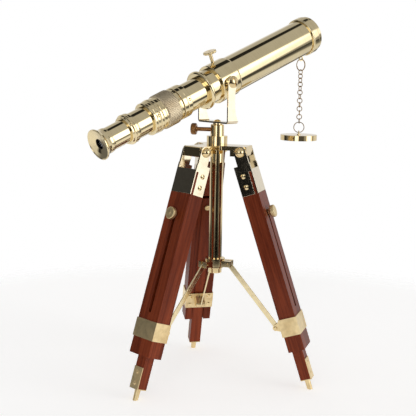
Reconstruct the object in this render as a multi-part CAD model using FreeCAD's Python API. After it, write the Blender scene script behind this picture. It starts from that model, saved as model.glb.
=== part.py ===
"""Brass telescope on a wooden tripod. One STEP per piece, millimetres, +Z up.

Origin: on the floor under the middle of the column. The telescope looks along +X, tipped up.
Tube pieces are turned about a local X axis through the tilt pivot. Leg pieces are drawn in a
local frame at the leg's hinge: X outwards, Y across the leg, Z up along it.
"""
import FreeCAD, Part
import math
import os

V = FreeCAD.Vector
AXIS_X = V(1, 0, 0)
AXIS_Y = V(0, 1, 0)
AXIS_Z = V(0, 0, 1)

# ---- driving dimensions ----
TILT_Z = 326.0          # height of the telescope's tilt pivot
ELEVATION = 22.0        # degrees the tube points up at rest
LEG_COUNT = 3
LEG_AZIMUTH = 183.0     # first leg, degrees from +X
LEG_SPREAD = 18.4       # degrees each leg leans out from vertical
HINGE_R = 29.3          # leg hinge from the column's axis
HINGE_Z = 253.2
RUN_FIT = 0.06          # radial clearance of a running fit
GAP = 0.3               # clearance between moving faces

# ---- telescope ----
BARREL_R = 19.5
BARREL_WALL = 1.2
BARREL_REAR = -8.6
BARREL_FRONT = 132.6
OBJECTIVE_R = 21.35
OBJECTIVE_REAR = 129.7
OBJECTIVE_STEP = 139.8
OBJECTIVE_FRONT = 144.0
CAP_SEAT_R = 19.9
OBJECTIVE_LENS_R = 17.6
REAR_RING_R = 21.0
REAR_RING_REAR = -10.2
REAR_RING_FRONT = 15.8
TRUNNION_R = 6.2
END_RING_REAR = -27.2
END_RING_R = 21.0
NECK_R = 18.0
BODY_R = 15.4
BODY_WALL = 1.2
BODY_REAR = -99.0
BODY_FRONT = 46.0
FRONT_COLLAR = (-62.4, -51.3, 17.4)
FOCUS_RING = (-90.6, -62.9, 18.3)
DRAW_COLLAR = (-101.7, -91.2, 17.7)
LARGE_DRAW_R = 13.8
LARGE_DRAW_WALL = 1.1
LARGE_DRAW_FRONT = -40.0
DRAW_RING = (-129.3, -119.1, 15.8)
SMALL_DRAW_R = 11.9
SMALL_DRAW_WALL = 1.1
SMALL_DRAW_FRONT = -75.0
EYECUP_REAR = -162.6
EYECUP_FRONT = -149.4
EYECUP_R = 16.0
EYE_HOLE_R = 5.3
EYE_LENS_R = 9.0
SET_SCREW_R = 1.7
SET_SCREW_TURN = 10.0   # degrees the set screws sit above the tube's -Y side
CLAMP_STEM_R = 1.7
CLAMP_KNOB_R = 7.0
CLAMP_KNOB_Z = 31.2     # underside of the clamp's knob above the tube's axis
CLAMP_KNOB_H = 2.6

# ---- cap and chain ----
CAP_EYE_X = 123.5       # along the tube
CAP_EYE_DROP = 2.6      # eye hole below the barrel's skin
CAP_EYE_HOLE_R = 1.8
HANGER_R = 6.4
HANGER_WIRE_R = 0.6
LINK_R = 2.8
LINK_WIRE_R = 0.45
LINK_COUNT = 13
LINK_PLAY = 0.08
CAP_RING_R = 5.7
CAP_RING_AZIMUTH = 50.0
CAP_LOOP_R = 1.9
CAP_LOOP_WIRE_R = 0.6
CAP_R = 21.0
CAP_WALL = 0.9
CAP_HEIGHT = 6.2

# ---- yoke and post ----
YOKE_INNER_Y = 22.9
YOKE_STRIP = 1.8
YOKE_BASE_Z = 282.4     # underside of the strip
YOKE_REAR_X = -6.6
YOKE_FRONT_X = 7.6
YOKE_WAIST_X = 2.8
YOKE_WAIST_Z = 306.0
YOKE_EYE_R = 6.6
PIVOT_R = 2.0
PIVOT_HEAD_R = 6.3
PIVOT_HEAD_H = 2.8
STEM_R = 4.9
STEM_BOTTOM_Z = 264.0
POST_R = 7.2
POST_TOP_Z = 280.9
POST_BOTTOM_Z = 259.0
LOCK_AZIMUTH = 128.0
LOCK_Z = 275.2
LOCK_STEM_R = 2.2
LOCK_KNOB_R = 6.2
LOCK_KNOB_IN = 22.6
LOCK_KNOB_OUT = 28.4

# ---- head, column and spreader ----
HEAD_TOP_Z = 259.0
HEAD_BOTTOM_Z = 248.3
HEAD_CORE_R = 15.5
HEAD_PLATE_Z = 254.4    # underside of the plate between the lugs
HEAD_RELIEF_R = 22.0
BOSS_R = 11.1
BOSS_TOP_Z = 268.6
LUG_R = 35.8
LUG_HALF = 12.6
HINGE_BOLT_R = 2.4
HINGE_DOME_R = 5.3
HINGE_DOME_H = 4.6
COLUMN_R = 7.1
COLUMN_WALL = 1.3
COLUMN_THREAD_R = 6.5
COLUMN_BOTTOM_Z = 120.6
STOP_R = 8.6
STOP_TOP_Z = 127.2
STOP_BOTTOM_Z = 124.5
HUB_R = 10.6
HUB_TOP_Z = 135.8
HUB_LUG_R = 19.4
HUB_LUG_HALF = 6.0
HUB_LUG_TOP_Z = 133.8
HUB_PIN_X = 15.5
HUB_PIN_Z = 130.5
HUB_PIN_R = 1.0

# ---- legs, in the local leg frame ----
WOOD_HALF = 15.2
WOOD_OUTER_X = 7.3
WOOD_INNER_X = -10.9
WOOD_TOP = -22.0
WOOD_BOTTOM = -219.0
STRAP_INNER_Y = 12.9
STRAP_TOP_R = 6.6
STRAP_TOP = 4.6
STRAP_OUTER_X = 3.4     # below the plate's top, wood shows from here to the plate
STRAP_BOTTOM = -46.1
PLATE_TOP = -19.8
PLATE_THICK = 1.2
CHANNEL_HALF = 6.9
CHANNEL_FLOOR_X = 2.2
CHANNEL_TOP = -54.0
SLOT_HALF = 1.9
SLOT_TOP = -69.5
LEG_TRAVEL = 103.0
COLLAR_TOP = -182.2
COLLAR_BOTTOM = -201.5
COLLAR_SHEET = 0.9
COLLAR_PLATE = 1.3
STRUT_PIN_X = -20.0
STRUT_PIN_Z = -191.8
FORK_HALF = 5.0
FORK_SLOT_HALF = 1.2
FORK_R = 3.3
INNER_HALF = 6.5
INNER_OUTER_X = 1.85
INNER_INNER_X = -9.5
INNER_TOP = -58.0
INNER_BOTTOM = -253.2
BOLT_R = 1.5
BOLT_HEAD_R = 3.2
BOLT_HEAD_H = 1.4
KNOB_NECK_R = 3.8
KNOB_R = 6.6
KNOB_SEAT_X = 7.6
KNOB_NECK_X = 10.4
KNOB_END_X = 15.2
SHOE_TOP = -231.0
SHOE_SHEET = 0.9
FERRULE_R = 3.1
FERRULE_TIP_R = 2.7
FERRULE_TIP = -265.4
SCREW_R = 2.6
SCREW_RIM = 0.4
SCREW_H = 0.7
SCREW_X = -3.6
SMALL_SCREW_R = 2.1
SMALL_SCREW_H = 0.7
SLOT_WIDTH = 0.7        # screwdriver slots
STRUT_HALF = 2.7
STRUT_THICK = 1.6


def box(x0, x1, y0, y1, z0, z1):
    """A block between two corners."""
    return Part.makeBox(x1 - x0, y1 - y0, z1 - z0, V(x0, y0, z0))


def rod(start, direction, radius, length):
    """A cylinder from start along direction."""
    return Part.makeCylinder(radius, length, start, direction)


def tube(r_out, r_in, x0, x1):
    """A straight tube about the local X axis."""
    outer = rod(V(x0, 0, 0), AXIS_X, r_out, x1 - x0)
    return outer.cut(rod(V(x0 - 1, 0, 0), AXIS_X, r_in, x1 - x0 + 2))


def turned(points):
    """A solid turned about X from (x, radius) points, closed back on itself."""
    corners = [V(x, 0, r) for x, r in points]
    face = Part.Face(Part.makePolygon(corners + corners[:1]))
    return face.revolve(V(0, 0, 0), AXIS_X, 360)


def dome(base, direction, radius, height):
    """A low round head: the cap of a ball, standing on base."""
    ball_r = (radius ** 2 + height ** 2) / (2 * height)
    unit = V(direction).normalize()
    ball = Part.makeSphere(ball_r, base - unit * (ball_r - height))
    return ball.common(rod(base, unit, radius + 1, height + 1))


def slotted_head(base, direction, across, radius, height):
    """A dome with a screwdriver slot running along across."""
    unit = V(direction).normalize()
    head = dome(base, unit, radius, height)
    side = unit.cross(across).normalize()
    slot = Part.makeBox(SLOT_WIDTH, 2 * radius + 1, height)
    row_x = (side.x, across.x, unit.x, 0)
    row_y = (side.y, across.y, unit.y, 0)
    row_z = (side.z, across.z, unit.z, 0)
    slot.translate(V(-SLOT_WIDTH / 2, -radius - 0.5, 0.45 * height))
    slot.transformShape(FreeCAD.Matrix(*row_x, *row_y, *row_z))
    slot.translate(base)
    return head.cut(slot)


def lens(x_mid, radius, edge, bulge):
    """A biconvex lens about the local X axis."""
    disc = rod(V(x_mid - edge / 2, 0, 0), AXIS_X, radius, edge)
    front = dome(V(x_mid + edge / 2, 0, 0), AXIS_X, radius, bulge)
    back = dome(V(x_mid - edge / 2, 0, 0), -AXIS_X, radius, bulge)
    return disc.fuse([front, back]).removeSplitter()


def wire_ring(centre, normal, radius, wire_r):
    """A round ring of wire."""
    return Part.makeTorus(radius, wire_r, centre, normal)


def save(name, *solids):
    """Write one piece, or one group of like pieces, as parts/NAME.step."""
    shapes = [solid for shape in solids for solid in shape.Solids]
    body = shapes[0] if len(shapes) == 1 else Part.makeCompound(shapes)
    body.exportStep("parts/" + name + ".step")


def on_tube(shape):
    """Turn a tube piece up by the elevation and lift it to the tilt pivot."""
    turn = FreeCAD.Rotation(AXIS_Y, -ELEVATION)
    placed = shape.copy()
    placed.Placement = FreeCAD.Placement(V(0, 0, TILT_Z), turn).multiply(placed.Placement)
    return placed


def leg_azimuth(index):
    return LEG_AZIMUTH + index * 360.0 / LEG_COUNT


def round_column(shape, azimuth):
    """Turn a shape drawn over +X to its place round the column."""
    placed = shape.copy()
    turn = FreeCAD.Placement(V(0, 0, 0), FreeCAD.Rotation(AXIS_Z, azimuth))
    placed.Placement = turn.multiply(placed.Placement)
    return placed


def on_leg(shape, index):
    """Move a leg piece from its local frame to its place on the tripod."""
    placed = shape.copy()
    lean = FreeCAD.Placement(V(HINGE_R, 0, HINGE_Z), FreeCAD.Rotation(AXIS_Y, -LEG_SPREAD))
    placed.Placement = lean.multiply(placed.Placement)
    return round_column(placed, leg_azimuth(index))


# ---- telescope pieces ----
def objective_barrel():
    shell = tube(BARREL_R, BARREL_R - BARREL_WALL, BARREL_REAR, BARREL_FRONT)
    holes = rod(V(0, -BARREL_R - 1, 0), AXIS_Y, PIVOT_R, 2 * BARREL_R + 2)
    clamp_hole = rod(V(0, 0, BODY_R), AXIS_Z, CLAMP_STEM_R + RUN_FIT, 10)
    return shell.cut([holes, clamp_hole])


def objective_ring():
    seat = BARREL_FRONT
    points = [(OBJECTIVE_REAR, BARREL_R), (OBJECTIVE_REAR, OBJECTIVE_R - 0.5)]
    points += [(OBJECTIVE_REAR + 0.5, OBJECTIVE_R), (OBJECTIVE_STEP - 0.4, OBJECTIVE_R)]
    points += [(OBJECTIVE_STEP, OBJECTIVE_R - 0.4), (OBJECTIVE_STEP, CAP_SEAT_R)]
    points += [(OBJECTIVE_FRONT, CAP_SEAT_R), (OBJECTIVE_FRONT, OBJECTIVE_LENS_R + 1.0)]
    points += [(OBJECTIVE_FRONT - 1.5, OBJECTIVE_LENS_R), (seat + 1.5, OBJECTIVE_LENS_R)]
    points += [(seat + 1.5, OBJECTIVE_LENS_R - 1.0), (seat, OBJECTIVE_LENS_R - 1.0), (seat, BARREL_R)]
    return turned(points)


def objective_lens():
    return lens(BARREL_FRONT + 4.0, OBJECTIVE_LENS_R, 2.6, 1.1)


def barrel_rear_ring():
    guide = BODY_R + RUN_FIT
    rear = REAR_RING_REAR
    front = REAR_RING_FRONT
    points = [(rear, guide), (rear, REAR_RING_R - 0.7), (rear + 0.6, REAR_RING_R)]
    points += [(front - 2.6, REAR_RING_R), (front - 1.0, REAR_RING_R - 0.4), (front, BARREL_R + 0.35)]
    points += [(front, BARREL_R), (BARREL_REAR, BARREL_R), (BARREL_REAR, guide)]
    reach = YOKE_INNER_Y - GAP
    bosses = rod(V(0, -reach, 0), AXIS_Y, TRUNNION_R, 2 * reach)
    bosses = bosses.cut(rod(V(-30, 0, 0), AXIS_X, BARREL_R, 60))
    pivots = rod(V(0, -reach - 1, 0), AXIS_Y, PIVOT_R, 2 * reach + 2)
    clamp_hole = rod(V(0, 0, BODY_R), AXIS_Z, CLAMP_STEM_R + RUN_FIT, 10)
    ring = turned(points).fuse(bosses).removeSplitter()
    return ring.cut([pivots, clamp_hole])


def barrel_end_ring():
    guide = BODY_R + RUN_FIT
    rear = END_RING_REAR
    points = [(rear, guide), (rear, END_RING_R - 1.6), (rear + 0.8, END_RING_R - 0.4)]
    points += [(rear + 1.6, END_RING_R), (rear + 3.0, END_RING_R), (rear + 4.0, END_RING_R - 0.6)]
    points += [(rear + 4.4, NECK_R), (REAR_RING_REAR, NECK_R), (REAR_RING_REAR, guide)]
    return turned(points)


def radial_screw(x_mid, seat_r):
    """A small slotted screw standing on a turned face of radius seat_r."""
    angle = math.radians(SET_SCREW_TURN)
    out = V(0, -math.cos(angle), math.sin(angle))
    head = slotted_head(V(x_mid, 0, 0) + out * seat_r, out, AXIS_X, SET_SCREW_R, 0.8)
    return head


def body_tube():
    return tube(BODY_R, BODY_R - BODY_WALL, BODY_REAR, BODY_FRONT)


def front_collar():
    rear, front, radius = FRONT_COLLAR
    points = [(rear, BODY_R), (rear, radius - 0.3), (rear + 0.3, radius), (-57.4, radius)]
    points += [(-57.2, radius - 0.25), (-56.9, radius), (front - 0.6, radius), (front, radius - 0.6)]
    points += [(front, BODY_R)]
    return turned(points)


def focus_ring():
    rear, front, radius = FOCUS_RING
    bore = BODY_R + RUN_FIT
    points = [(rear, bore), (rear, 16.6), (rear + 2.6, radius), (front - 1.8, radius)]
    points += [(front, 17.0), (front, bore)]
    return turned(points)


def draw_collar():
    rear, front, radius = DRAW_COLLAR
    guide = LARGE_DRAW_R + RUN_FIT
    points = [(rear, guide), (rear, radius - 1.6), (rear + 0.8, radius - 0.5), (rear + 3.0, radius - 0.5)]
    points += [(rear + 3.4, radius - 0.9), (rear + 3.8, radius - 0.5), (front - 2.6, radius - 0.4)]
    points += [(front - 2.2, radius), (front, radius), (front, BODY_R), (BODY_REAR, BODY_R)]
    points += [(BODY_REAR, guide)]
    return turned(points)


def collar_screws():
    front_screw = radial_screw(-54.2, FRONT_COLLAR[2] + 0.02)
    rear_screw = radial_screw(-96.0, DRAW_COLLAR[2] - 0.4)
    return front_screw, rear_screw


def erector_lens():
    return lens(22.0, BODY_R - BODY_WALL, 2.4, 1.4)


def draw_tube_large():
    rear = DRAW_RING[0] + 5.0
    return tube(LARGE_DRAW_R, LARGE_DRAW_R - LARGE_DRAW_WALL, rear, LARGE_DRAW_FRONT)


def draw_ring():
    rear, front, radius = DRAW_RING
    socket = rear + 5.0
    guide = SMALL_DRAW_R + RUN_FIT
    points = [(rear, guide), (rear, 14.0), (rear + 0.5, 14.4), (rear + 2.2, 14.5), (rear + 2.6, radius)]
    points += [(rear + 4.6, radius), (rear + 5.0, radius - 0.5), (rear + 5.4, radius - 0.3)]
    points += [(front - 2.4, radius - 0.3), (front - 2.0, 14.6), (front, 14.4), (front, LARGE_DRAW_R)]
    points += [(socket, LARGE_DRAW_R), (socket, guide)]
    return turned(points)


def draw_tube_small():
    return tube(SMALL_DRAW_R, SMALL_DRAW_R - SMALL_DRAW_WALL, EYECUP_FRONT - 3.6, SMALL_DRAW_FRONT)


def eyecup():
    rear = EYECUP_REAR
    socket = EYECUP_FRONT - 3.6
    points = [(rear + 2.3, EYE_HOLE_R), (rear + 0.7, 14.9), (rear, 15.3), (rear, EYECUP_R - 0.3)]
    points += [(rear + 0.5, EYECUP_R), (rear + 1.5, EYECUP_R), (rear + 3.6, 14.4), (-154.4, 12.5)]
    points += [(-154.0, 12.9), (-151.4, 12.9), (-151.0, 12.5), (EYECUP_FRONT, 12.5)]
    points += [(EYECUP_FRONT, SMALL_DRAW_R), (socket, SMALL_DRAW_R), (socket, EYE_LENS_R)]
    points += [(rear + 3.8, EYE_LENS_R), (rear + 3.8, EYE_HOLE_R)]
    return turned(points)


def eye_lens():
    return lens(EYECUP_REAR + 5.6, EYE_LENS_R, 1.6, 0.9)


def pivot_screws():
    screws = []
    for side in (-1, 1):
        seat = side * (YOKE_INNER_Y + YOKE_STRIP + 0.1)
        bore = BARREL_R - BARREL_WALL
        shank = rod(V(0, side * bore, 0), AXIS_Y * side, PIVOT_R, abs(seat) - bore)
        head = slotted_head(V(0, seat, 0), AXIS_Y * side, AXIS_Z, PIVOT_HEAD_R, PIVOT_HEAD_H)
        screws.append(shank.fuse(head))
    return screws


def clamp_screw():
    start = BODY_R + 0.4
    stem = rod(V(0, 0, start), AXIS_Z, CLAMP_STEM_R, CLAMP_KNOB_Z - start)
    knob = rod(V(0, 0, CLAMP_KNOB_Z), AXIS_Z, CLAMP_KNOB_R, CLAMP_KNOB_H)
    knob = knob.makeChamfer(0.4, knob.Edges)
    return stem.fuse(knob).removeSplitter()


def cap_eye():
    centre = V(CAP_EYE_X, 0, -BARREL_R - CAP_EYE_DROP)
    blade = rod(centre - AXIS_Y * 0.7, AXIS_Y, CAP_EYE_HOLE_R + 1.1, 1.4)
    root = box(CAP_EYE_X - 1.6, CAP_EYE_X + 1.6, -0.7, 0.7, centre.z, -BARREL_R + 1.0)
    eye = blade.fuse(root).removeSplitter()
    barrel = rod(V(CAP_EYE_X - 10, 0, 0), AXIS_X, BARREL_R, 20)
    hole = rod(centre - AXIS_Y * 2, AXIS_Y, CAP_EYE_HOLE_R, 4)
    return eye.cut([barrel, hole])


# ---- cap and chain, hanging straight down below the eye ----
def eye_point():
    angle = math.radians(ELEVATION)
    drop = BARREL_R + CAP_EYE_DROP
    x = CAP_EYE_X * math.cos(angle) + drop * math.sin(angle)
    return V(x, 0, TILT_Z + CAP_EYE_X * math.sin(angle) - drop * math.cos(angle))


def hanger_centre():
    hang = CAP_EYE_HOLE_R - HANGER_WIRE_R - 0.4
    return eye_point() - AXIS_Z * (hang + HANGER_R)


def link_centre(index):
    """Each link hangs from the wire above it."""
    first = hanger_centre().z - HANGER_R + HANGER_WIRE_R + LINK_WIRE_R + LINK_PLAY - LINK_R
    pitch = 2 * (LINK_R - LINK_WIRE_R) - LINK_PLAY
    return V(eye_point().x, 0, first - index * pitch)


def cap_ring_centre():
    last_wire = link_centre(LINK_COUNT - 1).z - LINK_R
    return V(eye_point().x, 0, last_wire + LINK_WIRE_R + HANGER_WIRE_R + LINK_PLAY - CAP_RING_R)


def cap_loop_centre():
    return cap_ring_centre() - AXIS_Z * (CAP_RING_R + CAP_LOOP_R - HANGER_WIRE_R - CAP_LOOP_WIRE_R - GAP)


def cap_top_z():
    return cap_loop_centre().z - CAP_LOOP_R - 0.3


def ring_normal():
    angle = math.radians(CAP_RING_AZIMUTH)
    return V(math.cos(angle), math.sin(angle), 0)


def chain_links():
    """Link planes turn a little from one to the next, a quarter turn apart in pairs."""
    links = []
    for index in range(LINK_COUNT):
        azimuth = math.radians(90.0 * (index + 1) + CAP_RING_AZIMUTH * index / (LINK_COUNT - 1))
        normal = V(math.cos(azimuth), math.sin(azimuth), 0)
        links.append(wire_ring(link_centre(index), normal, LINK_R, LINK_WIRE_R))
    return links


def cap_loop():
    centre = cap_loop_centre()
    across = ring_normal().cross(AXIS_Z)
    loop = wire_ring(centre, across, CAP_LOOP_R, CAP_LOOP_WIRE_R)
    foot = rod(V(centre.x, 0, cap_top_z()), AXIS_Z, 2.2, 0.9)
    merged = loop.fuse(foot)
    below = box(centre.x - 9, centre.x + 9, -9, 9, cap_top_z() - 5, cap_top_z())
    return merged.cut(below)


def lens_cap():
    x = eye_point().x
    top = cap_top_z()
    drum = rod(V(x, 0, top - CAP_HEIGHT), AXIS_Z, CAP_R, CAP_HEIGHT)
    top_rim = [edge for edge in drum.Edges if edge.BoundBox.ZMin > top - 0.01]
    drum = drum.makeFillet(0.5, top_rim)
    inside = rod(V(x, 0, top - CAP_HEIGHT - 1), AXIS_Z, CAP_R - CAP_WALL, CAP_HEIGHT + 1 - 1.0)
    return drum.cut(inside)


# ---- yoke, post and head ----
def yoke_arm_outline():
    """Side outline of an arm: straight at the back, a long hollow at the front, a round eye."""
    base = YOKE_BASE_Z
    eye = YOKE_EYE_R
    start = V(YOKE_REAR_X, 0, base)
    corner = V(YOKE_FRONT_X, 0, base)
    waist = V(YOKE_WAIST_X, 0, YOKE_WAIST_Z)
    front = V(eye, 0, TILT_Z)
    foot = V(YOKE_FRONT_X, 0, base + 2.5)
    hollow = Part.BSplineCurve()
    hollow.interpolate([foot, V(4.6, 0, base + 9.5), waist, V(3.6, 0, TILT_Z - 9.0), front])
    edges = [Part.makeLine(start, corner), Part.makeLine(corner, foot), hollow.toShape()]
    edges.append(Part.Arc(front, V(0, 0, TILT_Z + eye), V(-eye, 0, TILT_Z)).toShape())
    edges.append(Part.makeLine(V(-eye, 0, TILT_Z), start))
    return Part.Face(Part.Wire(edges))


def yoke():
    """One strip bent to a U, with rounded bends."""
    outer = YOKE_INNER_Y + YOKE_STRIP
    solid = yoke_arm_outline()
    solid.translate(AXIS_Y * -outer)
    block = solid.extrude(AXIS_Y * 2 * outer)
    bend = 3.0
    profile = box(-20, 20, -outer, outer, YOKE_BASE_Z, TILT_Z + 20)
    low_edges = [edge for edge in profile.Edges if edge.BoundBox.ZMax < YOKE_BASE_Z + 0.01]
    low_edges = [edge for edge in low_edges if edge.BoundBox.XLength > 30]
    profile = profile.makeFillet(bend, low_edges)
    inside = box(-21, 21, -YOKE_INNER_Y, YOKE_INNER_Y, YOKE_BASE_Z + YOKE_STRIP, TILT_Z + 30)
    inner_edges = [edge for edge in inside.Edges if edge.BoundBox.ZMax < YOKE_BASE_Z + YOKE_STRIP + 0.01]
    inner_edges = [edge for edge in inner_edges if edge.BoundBox.XLength > 30]
    inside = inside.makeFillet(bend - YOKE_STRIP, inner_edges)
    pivots = rod(V(0, -outer - 1, TILT_Z), AXIS_Y, PIVOT_R + RUN_FIT, 2 * outer + 2)
    stem_hole = rod(V(0, 0, YOKE_BASE_Z - 1), AXIS_Z, 2.0, YOKE_STRIP + 2)
    return block.common(profile).cut([inside, pivots, stem_hole])


def swivel_stem():
    shank = rod(V(0, 0, STEM_BOTTOM_Z), AXIS_Z, STEM_R, YOKE_BASE_Z - STEM_BOTTOM_Z)
    return shank.cut(rod(V(0, 0, YOKE_BASE_Z - 8), AXIS_Z, 2.0, 9))


def yoke_screw():
    head = slotted_head(V(0, 0, YOKE_BASE_Z + YOKE_STRIP), AXIS_Z, AXIS_Y, 4.1, 1.9)
    shank = rod(V(0, 0, YOKE_BASE_Z - 8), AXIS_Z, 2.0, 8 + YOKE_STRIP)
    return head.fuse(shank)


def post():
    outer = rod(V(0, 0, POST_BOTTOM_Z), AXIS_Z, POST_R, POST_TOP_Z - POST_BOTTOM_Z)
    top_rim = [edge for edge in outer.Edges if edge.BoundBox.ZMin > POST_TOP_Z - 0.01]
    outer = outer.makeChamfer(0.9, top_rim)
    socket = rod(V(0, 0, STEM_BOTTOM_Z - 0.5), AXIS_Z, STEM_R + RUN_FIT, 40)
    tapped = rod(V(0, 0, LOCK_Z), AXIS_X, LOCK_STEM_R + RUN_FIT, 20)
    return outer.cut([socket, round_column(tapped, LOCK_AZIMUTH)])


def post_lock_screw():
    start = STEM_R + 0.4
    stem = rod(V(start, 0, LOCK_Z), AXIS_X, LOCK_STEM_R, LOCK_KNOB_IN - start)
    knob = rod(V(LOCK_KNOB_IN, 0, LOCK_Z), AXIS_X, LOCK_KNOB_R, LOCK_KNOB_OUT - LOCK_KNOB_IN)
    knob = knob.makeFillet(1.2, knob.Edges)
    return round_column(stem.fuse(knob).removeSplitter(), LOCK_AZIMUTH)


def head_casting():
    """A thick three-armed plate with a round boss; each arm is the tongue of a leg hinge."""
    height = HEAD_TOP_Z - HEAD_BOTTOM_Z
    solid = rod(V(0, 0, HEAD_BOTTOM_Z), AXIS_Z, HEAD_CORE_R, height)
    boss = rod(V(0, 0, HEAD_TOP_Z), AXIS_Z, BOSS_R, BOSS_TOP_Z - HEAD_TOP_Z)
    arms = []
    for index in range(LEG_COUNT):
        arm = box(0, LUG_R, -LUG_HALF, LUG_HALF, HEAD_BOTTOM_Z, HEAD_TOP_Z)
        end_edges = [edge for edge in arm.Edges if edge.BoundBox.XMin > LUG_R - 0.01]
        end_edges = [edge for edge in end_edges if edge.BoundBox.YLength > 1]
        arm = arm.makeChamfer(0.8, end_edges)
        arms.append(round_column(arm, leg_azimuth(index)))
    solid = solid.fuse([boss] + arms).removeSplitter()
    relief = rod(V(0, 0, HEAD_BOTTOM_Z - 1), AXIS_Z, HEAD_RELIEF_R, HEAD_PLATE_Z - HEAD_BOTTOM_Z + 1)
    solid = solid.cut(relief)
    holes = [rod(V(0, 0, HEAD_BOTTOM_Z - 1), AXIS_Z, COLUMN_R, POST_BOTTOM_Z - HEAD_BOTTOM_Z + 1)]
    holes.append(rod(V(0, 0, POST_BOTTOM_Z), AXIS_Z, POST_R, 30))
    for index in range(LEG_COUNT):
        bolt_hole = rod(V(HINGE_R, -20, HINGE_Z), AXIS_Y, HINGE_BOLT_R, 40)
        holes.append(round_column(bolt_hole, leg_azimuth(index)))
    return solid.cut(holes)


def leg_pivot_bolts():
    bolts = []
    reach = WOOD_HALF + 0.1
    for index in range(LEG_COUNT):
        shank = rod(V(HINGE_R, -reach, HINGE_Z), AXIS_Y, HINGE_BOLT_R, 2 * reach)
        left = dome(V(HINGE_R, -reach, HINGE_Z), -AXIS_Y, HINGE_DOME_R, HINGE_DOME_H)
        right = dome(V(HINGE_R, reach, HINGE_Z), AXIS_Y, HINGE_DOME_R, HINGE_DOME_H)
        bolts.append(round_column(shank.fuse([left, right]), leg_azimuth(index)))
    return bolts


def center_column():
    height = POST_BOTTOM_Z - COLUMN_BOTTOM_Z
    below = V(0, 0, COLUMN_BOTTOM_Z - 1)
    nut_height = STOP_TOP_Z - COLUMN_BOTTOM_Z + 1
    outer = rod(V(0, 0, COLUMN_BOTTOM_Z), AXIS_Z, COLUMN_R, height)
    bore = rod(below, AXIS_Z, COLUMN_R - COLUMN_WALL, height - 6)
    thread = rod(below, AXIS_Z, COLUMN_THREAD_R, nut_height)
    narrow = rod(below, AXIS_Z, COLUMN_R + 1, nut_height).cut(thread)
    return outer.cut([bore, narrow])


def column_stop():
    """The round nut on the column's lower end that the spreader rests on."""
    disc = rod(V(0, 0, STOP_BOTTOM_Z), AXIS_Z, STOP_R, STOP_TOP_Z - STOP_BOTTOM_Z)
    disc = disc.makeChamfer(0.35, disc.Edges)
    tail = STOP_BOTTOM_Z - COLUMN_BOTTOM_Z + 0.8
    lower = rod(V(0, 0, COLUMN_BOTTOM_Z - 0.8), AXIS_Z, STOP_R - 1.2, tail)
    hole = rod(V(0, 0, COLUMN_BOTTOM_Z), AXIS_Z, COLUMN_THREAD_R, 20)
    return disc.fuse(lower).cut(hole).removeSplitter()


def spreader_hub():
    ring = rod(V(0, 0, STOP_TOP_Z), AXIS_Z, HUB_R, HUB_TOP_Z - STOP_TOP_Z)
    arms = []
    slots = [rod(V(0, 0, STOP_TOP_Z - 1), AXIS_Z, COLUMN_R + RUN_FIT, 20)]
    slot_half = STRUT_THICK / 2 + GAP
    for index in range(LEG_COUNT):
        arm = box(0, HUB_LUG_R, -HUB_LUG_HALF, HUB_LUG_HALF, STOP_TOP_Z, HUB_LUG_TOP_Z)
        upright = [edge for edge in arm.Edges if edge.BoundBox.ZLength > 2 and edge.BoundBox.XMin > 5]
        arms.append(round_column(arm.makeFillet(1.2, upright), leg_azimuth(index)))
        slot = box(HUB_R + 0.6, HUB_LUG_R + 1, -slot_half, slot_half, STOP_TOP_Z - 1, HUB_TOP_Z + 1)
        slots.append(round_column(slot, leg_azimuth(index)))
        pin_hole = rod(V(HUB_PIN_X, -HUB_LUG_HALF - 1, HUB_PIN_Z), AXIS_Y, HUB_PIN_R, 2 * HUB_LUG_HALF + 2)
        slots.append(round_column(pin_hole, leg_azimuth(index)))
    return ring.fuse(arms).removeSplitter().cut(slots)


def hub_pins():
    pins = []
    reach = HUB_LUG_HALF + 0.7
    for index in range(LEG_COUNT):
        pin = rod(V(HUB_PIN_X, -reach, HUB_PIN_Z), AXIS_Y, HUB_PIN_R, 2 * reach)
        pins.append(round_column(pin, leg_azimuth(index)))
    return pins


# ---- leg pieces ----
def corner_wood():
    """The leg's two outer corners between the side straps and the plate."""
    return box(STRAP_OUTER_X, WOOD_OUTER_X - PLATE_THICK, -WOOD_HALF, WOOD_HALF, STRAP_BOTTOM, WOOD_TOP)


def leg_bracket():
    """Two side straps and the plate across the leg's outer face, bent from one sheet."""
    top = STRAP_TOP_R
    inner_x = WOOD_INNER_X
    strap = box(inner_x, WOOD_OUTER_X, -WOOD_HALF, WOOD_HALF, STRAP_BOTTOM, 0)
    crown = rod(V(0, -WOOD_HALF, 0), AXIS_Y, top, 2 * WOOD_HALF)
    shoulder = box(-top, top, -WOOD_HALF, WOOD_HALF, STRAP_BOTTOM, 0)
    above = box(-30, 30, -30, 30, PLATE_TOP + 6.0, 30)
    body = strap.cut(above).fuse([crown, shoulder.common(strap)])
    body = body.cut([box(-30, 30, -30, 30, STRAP_TOP, 30), corner_wood()])
    taper_front = Part.Face(Part.makePolygon([
        V(top, -20, 0), V(20, -20, 12), V(20, -20, PLATE_TOP),
        V(WOOD_OUTER_X, -20, PLATE_TOP), V(top, -20, 0)]))
    body = body.cut(taper_front.extrude(AXIS_Y * 40))
    hollow = box(-30, WOOD_OUTER_X - PLATE_THICK, -STRAP_INNER_Y, STRAP_INNER_Y, -60, 20)
    window = box(0, 30, -STRAP_INNER_Y, STRAP_INNER_Y, PLATE_TOP, 20)
    bolt = rod(V(0, -20, 0), AXIS_Y, HINGE_BOLT_R + RUN_FIT, 40)
    return body.cut([hollow, window, bolt]).removeSplitter()


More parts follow.
